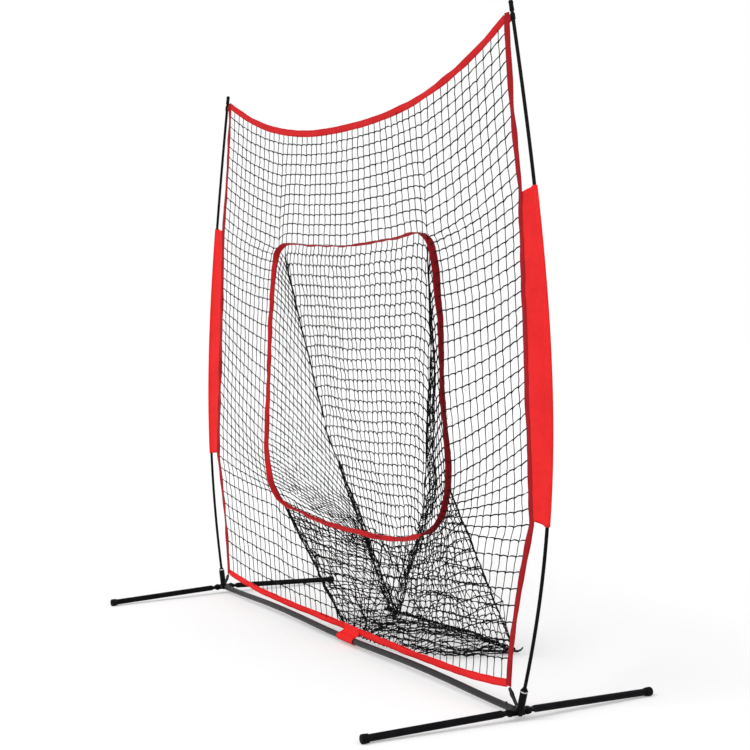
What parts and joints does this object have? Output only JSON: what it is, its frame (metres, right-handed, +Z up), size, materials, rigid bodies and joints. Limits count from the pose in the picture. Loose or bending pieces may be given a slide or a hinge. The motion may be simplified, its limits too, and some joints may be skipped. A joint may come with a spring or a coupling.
{
  "type": "pitching target net",
  "caption": "Freestanding pitching target net: folding steel base, bowed poles in red sleeves, framed strike-zone opening and a hanging catch pocket.",
  "frame": {"origin": "centre of the footprint on the ground, below the middle of the crossbar", "axes": "+X along the crossbar, +Y away from the thrower towards the pocket, +Z up"},
  "size_m": [2.6184, 1.0358, 2.1386],
  "materials": {
    "black_steel": "satin black",
    "zinc_steel": "zinc plated",
    "rubber": "matt",
    "plastic": "matt",
    "fibreglass": "smooth",
    "red_fabric": "woven polyester",
    "dark_red_tape": "woven polyester tape",
    "twine": "knotted twine",
    "webbing": "woven webbing"
  },
  "bodies": {
    "frame": {"crossbar_left": "black_steel", "crossbar_right": "black_steel", "crossbar_coupler": "black_steel", "hub_bracket_left": "black_steel", "hub_bracket_right": "black_steel", "socket_bolt_left": "zinc_steel", "socket_bolt_right": "zinc_steel", "pivot_bolt_rear_left": "zinc_steel", "pivot_bolt_front_left": "zinc_steel", "pivot_bolt_front_right": "zinc_steel", "pivot_bolt_rear_right": "zinc_steel", "pole_lower_left": "fibreglass", "pole_middle_left": "fibreglass", "pole_upper_left": "fibreglass", "pole_ferrule_lower_left": "zinc_steel", "pole_ferrule_upper_left": "zinc_steel", "pole_socket_left": "black_steel", "socket_bushing_left": "plastic", "pole_tip_left": "rubber", "pole_lower_right": "fibreglass", "pole_middle_right": "fibreglass", "pole_upper_right": "fibreglass", "pole_ferrule_lower_right": "zinc_steel", "pole_ferrule_upper_right": "zinc_steel", "pole_socket_right": "black_steel", "socket_bushing_right": "plastic", "pole_tip_right": "rubber", "tape_top": "red_fabric", "tape_bottom": "red_fabric", "tape_opening": "dark_red_tape", "tape_side_left": "dark_red_tape", "tape_side_right": "dark_red_tape", "sleeve_left": "red_fabric", "sleeve_right": "red_fabric", "net_top": "twine", "net_bottom": "twine", "net_side_left": "twine", "net_side_right": "twine", "pocket_side_left": "twine", "pocket_side_right": "twine", "pocket_back": "twine", "pocket_front": "twine", "pocket_floor": "twine", "corner_strap_left": "webbing", "corner_strap_right": "webbing", "crossbar_flap": "red_fabric", "pocket_tab": "webbing"},
    "front_left_leg": {"leg_front_left": "black_steel", "foot_cap_front_left": "rubber"},
    "rear_left_leg": {"leg_rear_left": "black_steel", "foot_cap_rear_left": "rubber"},
    "front_right_leg": {"leg_front_right": "black_steel", "foot_cap_front_right": "rubber"},
    "rear_right_leg": {"leg_rear_right": "black_steel", "foot_cap_rear_right": "rubber"},
    "left_hub_button": {"hub_button_left": "zinc_steel"},
    "right_hub_button": {"hub_button_right": "zinc_steel"},
    "middle_button": {"coupler_button": "zinc_steel"}
  },
  "joints": [
    {"name": "fold_front_left_leg", "type": "hinge", "parent": "frame", "child": "front_left_leg", "pos_m": [-1.145, -0.031, 0.028], "axis": [0, 0, 1], "range_deg": [0, 87]},
    {"name": "fold_rear_left_leg", "type": "hinge", "parent": "frame", "child": "rear_left_leg", "pos_m": [-1.145, 0.031, 0.028], "axis": [0, 0, -1], "range_deg": [0, 87]},
    {"name": "fold_front_right_leg", "type": "hinge", "parent": "frame", "child": "front_right_leg", "pos_m": [1.145, -0.031, 0.028], "axis": [0, 0, -1], "range_deg": [0, 87]},
    {"name": "fold_rear_right_leg", "type": "hinge", "parent": "frame", "child": "rear_right_leg", "pos_m": [1.145, 0.031, 0.028], "axis": [0, 0, 1], "range_deg": [0, 87]},
    {"name": "press_left_hub_button", "type": "slide", "parent": "frame", "child": "left_hub_button", "axis": [0, 0, -1], "range_m": [0, 0.004], "stiffness_N_per_m": 500},
    {"name": "press_right_hub_button", "type": "slide", "parent": "frame", "child": "right_hub_button", "axis": [0, 0, -1], "range_m": [0, 0.004], "stiffness_N_per_m": 500},
    {"name": "press_middle_button", "type": "slide", "parent": "frame", "child": "middle_button", "axis": [0, -1, 0], "range_m": [0, 0.004], "stiffness_N_per_m": 500}
  ]
}
